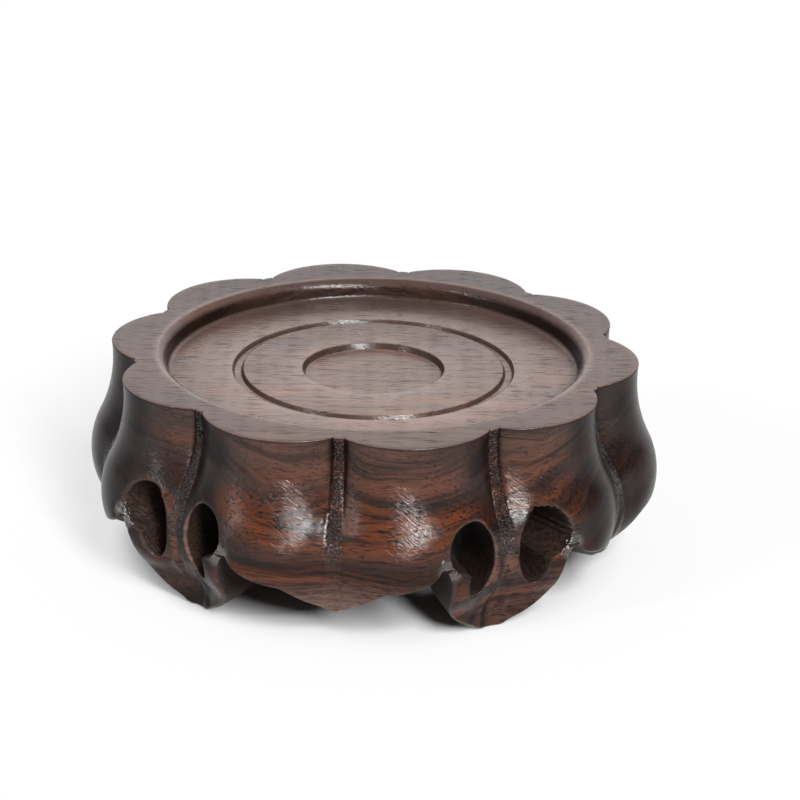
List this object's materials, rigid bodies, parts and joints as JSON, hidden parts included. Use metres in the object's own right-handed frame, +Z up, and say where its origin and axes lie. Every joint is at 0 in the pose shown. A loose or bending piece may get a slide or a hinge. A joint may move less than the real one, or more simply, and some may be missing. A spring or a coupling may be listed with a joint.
{
  "type": "display stand",
  "caption": "Round carved hardwood display stand with a petalled rim, a shallow dished top, a bulging petalled wall and pierced cloud feet, to hold a vase or bowl.",
  "frame": {"origin": "on the stand's axis, in the plane that the feet stand on", "axes": "+Z up through the middle of the dish, -Y towards the hanging point that faces the viewer"},
  "size_m": [0.1002, 0.0972, 0.0355],
  "materials": {
    "rosewood_top": "satin wax",
    "rosewood_wall": "satin gloss"
  },
  "bodies": {
    "root": {"top_board": "rosewood_top", "apron_1": "rosewood_wall", "apron_2": "rosewood_wall", "apron_3": "rosewood_wall", "apron_4": "rosewood_wall", "apron_5": "rosewood_wall", "leg_1": "rosewood_wall", "leg_2": "rosewood_wall", "leg_3": "rosewood_wall", "leg_4": "rosewood_wall", "leg_5": "rosewood_wall"}
  },
  "joints": []
}
